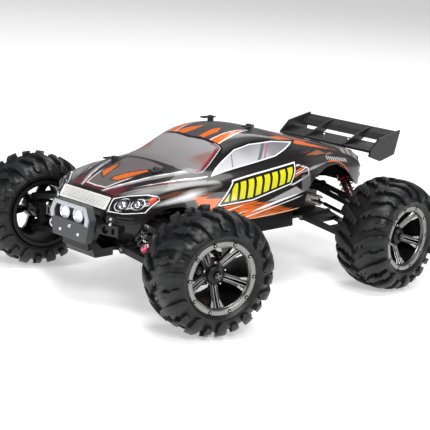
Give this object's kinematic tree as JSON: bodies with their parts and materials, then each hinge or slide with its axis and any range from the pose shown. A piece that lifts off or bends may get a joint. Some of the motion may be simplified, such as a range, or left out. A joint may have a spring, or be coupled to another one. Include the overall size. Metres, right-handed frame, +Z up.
{
  "type": "radio controlled monster truck",
  "caption": "Four-wheel-drive radio-controlled monster truck with large lugged tyres, sprung arms, steered front wheels, a light clip-on body shell and a rear wing.",
  "frame": {"origin": "on the ground below the middle of the truck's box", "axes": "+X forward, +Y to the truck's left, +Z up"},
  "size_m": [0.3152, 0.2568, 0.1198],
  "materials": {
    "black_plastic": "moulded matt black",
    "dark_grey_plastic": "satin dark grey",
    "body_film": "glossy clear film painted black, orange and silver on its inside",
    "lamp": "clear lamp lens",
    "tyre_rubber": "matt rubber",
    "rim_metal": "dark chrome plated plastic",
    "steel": "bright steel",
    "motor_can": "silver can",
    "brass": "turned brass",
    "battery_wrap": "blue shrink wrap",
    "shock_black": "satin black cylinder",
    "shock_red": "crimson red anodised look",
    "gear_plastic": "natural white gear plastic"
  },
  "bodies": {
    "chassis": {"chassis_tub": "black_plastic", "front_bumper": "black_plastic", "light_housing": "dark_grey_plastic", "light_lenses": "lamp", "front_gearbox_case": "black_plastic", "rear_gearbox_case": "black_plastic", "front_shock_tower": "black_plastic", "rear_shock_tower": "black_plastic", "rear_wing": "black_plastic", "body_shell": "body_film", "body_clips": "steel", "motor": "motor_can", "battery_pack": "battery_wrap", "receiver_box": "dark_grey_plastic", "steering_servo": "black_plastic", "hinge_pins": "steel"},
    "switch_button": {"power_switch": "black_plastic"},
    "servo_horn": {"servo_horn": "black_plastic"},
    "idler_arm": {"idler_arm": "black_plastic"},
    "drag_link": {"drag_link": "black_plastic"},
    "center_shaft": {"center_shaft": "gear_plastic"},
    "motor_pinion": {"motor_pinion": "brass"},
    "front_diff": {"front_diff": "steel"},
    "rear_diff": {"rear_diff": "steel"},
    "lower_arm_fl": {"lower_arm_fl": "black_plastic"},
    "upper_arm_fl": {"upper_arm_fl": "black_plastic"},
    "hub_carrier_fl": {"hub_carrier_fl": "black_plastic"},
    "knuckle_fl": {"knuckle_fl": "black_plastic"},
    "tie_rod_left": {"tie_rod_left": "black_plastic"},
    "wheel_fl": {"tyre_fl": "tyre_rubber", "rim_fl": "rim_metal"},
    "drive_shaft_fl": {"drive_shaft_fl": "steel"},
    "shock_body_fl": {"shock_body_fl": "shock_black"},
    "shock_rod_fl": {"shock_rod_fl": "shock_red"},
    "lower_arm_fr": {"lower_arm_fr": "black_plastic"},
    "upper_arm_fr": {"upper_arm_fr": "black_plastic"},
    "hub_carrier_fr": {"hub_carrier_fr": "black_plastic"},
    "knuckle_fr": {"knuckle_fr": "black_plastic"},
    "tie_rod_right": {"tie_rod_right": "black_plastic"},
    "wheel_fr": {"tyre_fr": "tyre_rubber", "rim_fr": "rim_metal"},
    "drive_shaft_fr": {"drive_shaft_fr": "steel"},
    "shock_body_fr": {"shock_body_fr": "shock_black"},
    "shock_rod_fr": {"shock_rod_fr": "shock_red"},
    "lower_arm_rl": {"lower_arm_rl": "black_plastic"},
    "upper_arm_rl": {"upper_arm_rl": "black_plastic"},
    "hub_carrier_rl": {"hub_carrier_rl": "black_plastic"},
    "wheel_rl": {"tyre_rl": "tyre_rubber", "rim_rl": "rim_metal"},
    "drive_shaft_rl": {"drive_shaft_rl": "steel"},
    "shock_body_rl": {"shock_body_rl": "shock_black"},
    "shock_rod_rl": {"shock_rod_rl": "shock_red"},
    "lower_arm_rr": {"lower_arm_rr": "black_plastic"},
    "upper_arm_rr": {"upper_arm_rr": "black_plastic"},
    "hub_carrier_rr": {"hub_carrier_rr": "black_plastic"},
    "wheel_rr": {"tyre_rr": "tyre_rubber", "rim_rr": "rim_metal"},
    "drive_shaft_rr": {"drive_shaft_rr": "steel"},
    "shock_body_rr": {"shock_body_rr": "shock_black"},
    "shock_rod_rr": {"shock_rod_rr": "shock_red"}
  },
  "joints": [
    {"name": "power_switch_slide", "type": "slide", "parent": "chassis", "child": "switch_button", "axis": [1, 0, 0], "range_m": [0, 0.003]},
    {"name": "steering", "type": "hinge", "parent": "chassis", "child": "servo_horn", "pos_m": [0.0853, 0.01, 0.058], "axis": [0, 0, 1], "range_deg": [-7.6, 42.4]},
    {"name": "idler_turn", "type": "hinge", "parent": "chassis", "child": "idler_arm", "pos_m": [0.0853, -0.01, 0.058], "axis": [0, 0, 1], "range_deg": [-8, 42.8]},
    {"name": "drag_link_turn", "type": "hinge", "parent": "servo_horn", "child": "drag_link", "pos_m": [0.07194, 0.01419, 0.057], "axis": [0, 0, 1], "range_deg": [-42.8, 8]},
    {"name": "center_shaft_spin", "type": "hinge", "parent": "chassis", "child": "center_shaft", "pos_m": [-0.0162, 0, 0.0535], "axis": [1, 0, 0], "continuous": true},
    {"name": "motor_spin", "type": "hinge", "parent": "chassis", "child": "motor_pinion", "pos_m": [-0.0162, -0.01579, 0.05925], "axis": [1, 0, 0], "continuous": true},
    {"name": "front_diff_spin", "type": "hinge", "parent": "chassis", "child": "front_diff", "pos_m": [0.1078, 0, 0.0535], "axis": [0, 1, 0], "continuous": true},
    {"name": "rear_diff_spin", "type": "hinge", "parent": "chassis", "child": "rear_diff", "pos_m": [-0.0842, 0, 0.0535], "axis": [0, 1, 0], "continuous": true},
    {"name": "suspension_fl", "type": "hinge", "parent": "chassis", "child": "lower_arm_fl", "pos_m": [0.1078, 0.026, 0.0415], "axis": [1, 0, 0], "range_deg": [0, 12], "stiffness_Nm_per_rad": 1.6, "springref_deg": -12.61},
    {"name": "upper_arm_turn_fl", "type": "hinge", "parent": "chassis", "child": "upper_arm_fl", "pos_m": [0.1078, 0.026, 0.066], "axis": [1, 0, 0], "range_deg": [-0.4, 12.4]},
    {"name": "hub_turn_fl", "type": "hinge", "parent": "lower_arm_fl", "child": "hub_carrier_fl", "pos_m": [0.1078, 0.084, 0.0305], "axis": [1, 0, 0], "range_deg": [-12.4, 0.4]},
    {"name": "knuckle_turn_fl", "type": "hinge", "parent": "hub_carrier_fl", "child": "knuckle_fl", "pos_m": [0.1078, 0.084, 0.0425], "axis": [0, 0, 1], "range_deg": [-8, 42.8]},
    {"name": "tie_rod_left_turn", "type": "hinge", "parent": "drag_link", "child": "tie_rod_left", "pos_m": [0.09444, 0.03019, 0.06], "axis": [1, 0, 0], "range_deg": [-0.4, 12.4]},
    {"name": "wheel_spin_fl", "type": "hinge", "parent": "knuckle_fl", "child": "wheel_fl", "pos_m": [0.11199, 0.09736, 0.0425], "axis": [0.299, 0.9542, 0], "continuous": true},
    {"name": "drive_shaft_spin_fl", "type": "hinge", "parent": "lower_arm_fl", "child": "drive_shaft_fl", "pos_m": [0.1078, 0.02725, 0.0535], "axis": [0, 0.9825, -0.1863], "continuous": true},
    {"name": "shock_tilt_fl", "type": "hinge", "parent": "chassis", "child": "shock_body_fl", "pos_m": [0.121, 0.027, 0.0725], "axis": [1, 0, 0], "range_deg": [-0.4, 5.02]},
    {"name": "shock_stroke_fl", "type": "slide", "parent": "shock_body_fl", "child": "shock_rod_fl", "axis": [0, -0.6389, 0.7693], "range_m": [-0.0002, 0.00468]},
    {"name": "suspension_fr", "type": "hinge", "parent": "chassis", "child": "lower_arm_fr", "pos_m": [0.1078, -0.026, 0.0415], "axis": [-1, 0, 0], "range_deg": [0, 12], "stiffness_Nm_per_rad": 1.6, "springref_deg": -12.61},
    {"name": "upper_arm_turn_fr", "type": "hinge", "parent": "chassis", "child": "upper_arm_fr", "pos_m": [0.1078, -0.026, 0.066], "axis": [-1, 0, 0], "range_deg": [-0.4, 12.4]},
    {"name": "hub_turn_fr", "type": "hinge", "parent": "lower_arm_fr", "child": "hub_carrier_fr", "pos_m": [0.1078, -0.084, 0.0305], "axis": [-1, 0, 0], "range_deg": [-12.4, 0.4]},
    {"name": "knuckle_turn_fr", "type": "hinge", "parent": "hub_carrier_fr", "child": "knuckle_fr", "pos_m": [0.1078, -0.084, 0.0425], "axis": [0, 0, 1], "range_deg": [-8, 42.8]},
    {"name": "tie_rod_right_turn", "type": "hinge", "parent": "drag_link", "child": "tie_rod_right", "pos_m": [0.09444, -0.02181, 0.06], "axis": [-1, 0, 0], "range_deg": [-0.4, 12.4]},
    {"name": "wheel_spin_fr", "type": "hinge", "parent": "knuckle_fr", "child": "wheel_fr", "pos_m": [0.10361, -0.09736, 0.0425], "axis": [0.299, 0.9542, 0], "continuous": true},
    {"name": "drive_shaft_spin_fr", "type": "hinge", "parent": "lower_arm_fr", "child": "drive_shaft_fr", "pos_m": [0.1078, -0.02725, 0.0535], "axis": [0, 0.9825, 0.1863], "continuous": true},
    {"name": "shock_tilt_fr", "type": "hinge", "parent": "chassis", "child": "shock_body_fr", "pos_m": [0.121, -0.027, 0.0725], "axis": [-1, 0, 0], "range_deg": [-0.4, 5.02]},
    {"name": "shock_stroke_fr", "type": "slide", "parent": "shock_body_fr", "child": "shock_rod_fr", "axis": [0, 0.6389, 0.7693], "range_m": [-0.0002, 0.00468]},
    {"name": "suspension_rl", "type": "hinge", "parent": "chassis", "child": "lower_arm_rl", "pos_m": [-0.0842, 0.026, 0.0415], "axis": [1, 0, 0], "range_deg": [0, 12], "stiffness_Nm_per_rad": 1.6, "springref_deg": -12.61},
    {"name": "upper_arm_turn_rl", "type": "hinge", "parent": "chassis", "child": "upper_arm_rl", "pos_m": [-0.0842, 0.026, 0.066], "axis": [1, 0, 0], "range_deg": [-0.4, 12.4]},
    {"name": "hub_turn_rl", "type": "hinge", "parent": "lower_arm_rl", "child": "hub_carrier_rl", "pos_m": [-0.0842, 0.084, 0.0305], "axis": [1, 0, 0], "range_deg": [-12.4, 0.4]},
    {"name": "wheel_spin_rl", "type": "hinge", "parent": "hub_carrier_rl", "child": "wheel_rl", "pos_m": [-0.0842, 0.098, 0.0425], "axis": [0, 1, 0], "continuous": true},
    {"name": "drive_shaft_spin_rl", "type": "hinge", "parent": "lower_arm_rl", "child": "drive_shaft_rl", "pos_m": [-0.0842, 0.02725, 0.0535], "axis": [0, 0.9825, -0.1863], "continuous": true},
    {"name": "shock_tilt_rl", "type": "hinge", "parent": "chassis", "child": "shock_body_rl", "pos_m": [-0.1008, 0.035, 0.0775], "axis": [1, 0, 0], "range_deg": [-0.4, 5.13]},
    {"name": "shock_stroke_rl", "type": "slide", "parent": "shock_body_rl", "child": "shock_rod_rl", "axis": [0, -0.5743, 0.8187], "range_m": [-0.0002, 0.00625]},
    {"name": "suspension_rr", "type": "hinge", "parent": "chassis", "child": "lower_arm_rr", "pos_m": [-0.0842, -0.026, 0.0415], "axis": [-1, 0, 0], "range_deg": [0, 12], "stiffness_Nm_per_rad": 1.6, "springref_deg": -12.61},
    {"name": "upper_arm_turn_rr", "type": "hinge", "parent": "chassis", "child": "upper_arm_rr", "pos_m": [-0.0842, -0.026, 0.066], "axis": [-1, 0, 0], "range_deg": [-0.4, 12.4]},
    {"name": "hub_turn_rr", "type": "hinge", "parent": "lower_arm_rr", "child": "hub_carrier_rr", "pos_m": [-0.0842, -0.084, 0.0305], "axis": [-1, 0, 0], "range_deg": [-12.4, 0.4]},
    {"name": "wheel_spin_rr", "type": "hinge", "parent": "hub_carrier_rr", "child": "wheel_rr", "pos_m": [-0.0842, -0.098, 0.0425], "axis": [0, 1, 0], "continuous": true},
    {"name": "drive_shaft_spin_rr", "type": "hinge", "parent": "lower_arm_rr", "child": "drive_shaft_rr", "pos_m": [-0.0842, -0.02725, 0.0535], "axis": [0, 0.9825, 0.1863], "continuous": true},
    {"name": "shock_tilt_rr", "type": "hinge", "parent": "chassis", "child": "shock_body_rr", "pos_m": [-0.1008, -0.035, 0.0775], "axis": [-1, 0, 0], "range_deg": [-0.4, 5.13]},
    {"name": "shock_stroke_rr", "type": "slide", "parent": "shock_body_rr", "child": "shock_rod_rr", "axis": [0, 0.5743, 0.8187], "range_m": [-0.0002, 0.00625]}
  ],
  "couplings": [
    {"joint": "idler_turn", "follows": "steering", "ratio": 1},
    {"joint": "drag_link_turn", "follows": "steering", "ratio": -1},
    {"joint": "center_shaft_spin", "follows": "wheel_spin_rl", "ratio": 3},
    {"joint": "motor_spin", "follows": "wheel_spin_rl", "ratio": -7.5},
    {"joint": "front_diff_spin", "follows": "wheel_spin_rl", "ratio": 1},
    {"joint": "rear_diff_spin", "follows": "wheel_spin_rl", "ratio": 1},
    {"joint": "upper_arm_turn_fl", "follows": "suspension_fl", "ratio": 1},
    {"joint": "hub_turn_fl", "follows": "suspension_fl", "ratio": -1},
    {"joint": "knuckle_turn_fl", "follows": "steering", "ratio": 1},
    {"joint": "tie_rod_left_turn", "follows": "suspension_fl", "ratio": 1},
    {"joint": "wheel_spin_fl", "follows": "wheel_spin_rl", "ratio": 1},
    {"joint": "drive_shaft_spin_fl", "follows": "wheel_spin_rl", "ratio": 1},
    {"joint": "shock_tilt_fl", "follows": "suspension_fl", "ratio": 0.38478},
    {"joint": "shock_stroke_fl", "follows": "suspension_fl", "m_per_rad": 0.021383},
    {"joint": "upper_arm_turn_fr", "follows": "suspension_fr", "ratio": 1},
    {"joint": "hub_turn_fr", "follows": "suspension_fr", "ratio": -1},
    {"joint": "knuckle_turn_fr", "follows": "steering", "ratio": 1},
    {"joint": "tie_rod_right_turn", "follows": "suspension_fr", "ratio": 1},
    {"joint": "wheel_spin_fr", "follows": "wheel_spin_rl", "ratio": 1},
    {"joint": "drive_shaft_spin_fr", "follows": "wheel_spin_rl", "ratio": 1},
    {"joint": "shock_tilt_fr", "follows": "suspension_fr", "ratio": 0.38478},
    {"joint": "shock_stroke_fr", "follows": "suspension_fr", "m_per_rad": 0.021383},
    {"joint": "upper_arm_turn_rl", "follows": "suspension_rl", "ratio": 1},
    {"joint": "hub_turn_rl", "follows": "suspension_rl", "ratio": -1},
    {"joint": "drive_shaft_spin_rl", "follows": "wheel_spin_rl", "ratio": 1},
    {"joint": "shock_tilt_rl", "follows": "suspension_rl", "ratio": 0.3938},
    {"joint": "shock_stroke_rl", "follows": "suspension_rl", "m_per_rad": 0.028872},
    {"joint": "upper_arm_turn_rr", "follows": "suspension_rr", "ratio": 1},
    {"joint": "hub_turn_rr", "follows": "suspension_rr", "ratio": -1},
    {"joint": "wheel_spin_rr", "follows": "wheel_spin_rl", "ratio": 1},
    {"joint": "drive_shaft_spin_rr", "follows": "wheel_spin_rl", "ratio": 1},
    {"joint": "shock_tilt_rr", "follows": "suspension_rr", "ratio": 0.3938},
    {"joint": "shock_stroke_rr", "follows": "suspension_rr", "m_per_rad": 0.028872}
  ]
}
